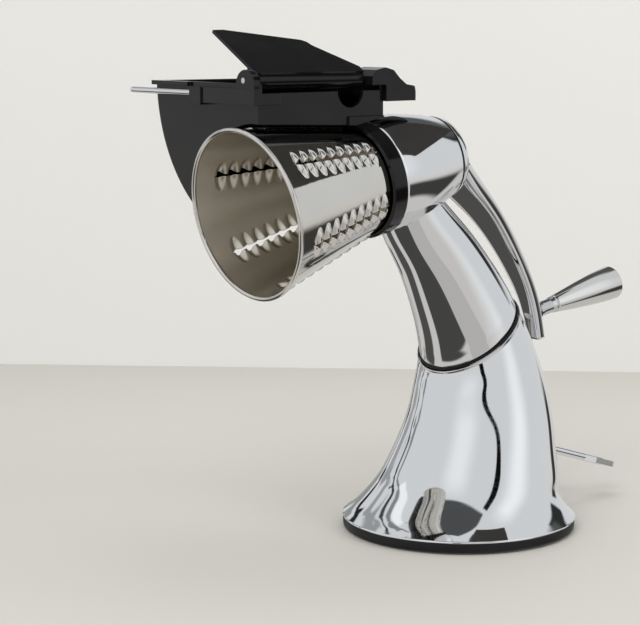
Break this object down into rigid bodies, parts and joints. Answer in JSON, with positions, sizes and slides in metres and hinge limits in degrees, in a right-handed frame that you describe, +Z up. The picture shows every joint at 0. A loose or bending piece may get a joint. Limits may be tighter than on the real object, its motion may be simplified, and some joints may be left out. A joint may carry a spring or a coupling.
{
  "type": "rotary shredder",
  "caption": "Hand-cranked kitchen shredder on a suction base: a toothed cone turns in a tilted barrel under a side hopper with a hinged pusher.",
  "frame": {"origin": "centre of the suction ring's underside, on the table", "axes": "+Z up, -X along the way the cone's mouth points, +X towards the crank, +Y towards the hopper's bulge"},
  "size_m": [0.3129, 0.1889, 0.3057],
  "materials": {
    "rubber": "matt black rubber",
    "zinc_plate": "zinc-plated pressed steel",
    "steel": "plain machined steel",
    "chrome_body": "polished chrome plate",
    "chrome_head": "polished chrome plate",
    "chrome_crank": "polished chrome plate",
    "chrome_lever": "chrome-plated rod",
    "black_seal": "black seal",
    "nylon": "off-white bearing plastic",
    "black_collar": "glossy black moulding",
    "black_hopper": "glossy black moulding",
    "black_tab": "glossy black moulding",
    "black_bar": "glossy black moulding",
    "black_pusher": "glossy black moulding",
    "black_plate": "glossy black moulding",
    "chrome_grip": "satin-polished metal",
    "bright_screw": "bright steel screw",
    "bright_rod": "polished rod",
    "stainless": "polished stainless sheet, duller inside",
    "stainless_plate": "dull stainless sheet"
  },
  "bodies": {
    "stand": {"base_ring": "rubber", "suction_diaphragm": "rubber", "base_plate": "zinc_plate", "base_screws": "steel", "lever_bracket": "zinc_plate", "lower_housing": "chrome_body", "neck_bolts": "steel", "seam_gasket": "black_seal", "head_housing": "chrome_head", "front_bush": "nylon", "rear_bush": "nylon", "thrust_washer": "nylon", "hub_seal": "black_seal", "hopper_collar": "black_collar", "hopper_shell": "black_hopper", "hopper_tab": "black_tab", "hopper_screw": "bright_screw", "hopper_end_bar": "black_bar", "hopper_rod": "bright_rod", "hinge_pin": "steel"},
    "rotor": {"drive_shaft": "steel", "drive_disc": "nylon", "drive_pins": "steel", "crank_arm": "chrome_crank", "crank_nut": "chrome_crank", "handle_spindle": "steel"},
    "grip": {"handle_grip": "chrome_grip"},
    "cone": {"shredder_cone": "stainless", "cone_end_plate": "stainless_plate"},
    "pusher": {"pusher_paddle": "black_pusher", "hand_plate": "black_plate"},
    "lever": {"suction_lever": "chrome_lever", "lever_shaft": "steel"},
    "pad": {"lift_yoke": "zinc_plate", "lift_stud": "steel"}
  },
  "joints": [
    {"name": "crank_turn", "type": "hinge", "parent": "stand", "child": "rotor", "pos_m": [0, 0, 0.2335], "axis": [0.9837, 0, 0.18], "continuous": true},
    {"name": "grip_spin", "type": "hinge", "parent": "rotor", "child": "grip", "pos_m": [0.0207, 0, 0.12038], "axis": [0.9837, 0, 0.18], "continuous": true},
    {"name": "cone_slide", "type": "slide", "parent": "rotor", "child": "cone", "axis": [-0.9837, 0, -0.18], "range_m": [0, 0.11]},
    {"name": "pusher_swing", "type": "hinge", "parent": "stand", "child": "pusher", "pos_m": [-0.12, 0.004, 0.278], "axis": [1, 0, 0], "range_deg": [0, 110]},
    {"name": "lever_lift", "type": "hinge", "parent": "stand", "child": "lever", "pos_m": [0.00688, 0, 0.0605], "axis": [0, -1, 0], "range_deg": [0, 30]},
    {"name": "pad_drop", "type": "slide", "parent": "stand", "child": "pad", "axis": [0, 0, -1], "range_m": [0, 0.0037], "deforming": ["suction_diaphragm"]}
  ],
  "couplings": [
    {"joint": "pad_drop", "follows": "lever_lift", "m_per_rad": 0.0069203}
  ]
}
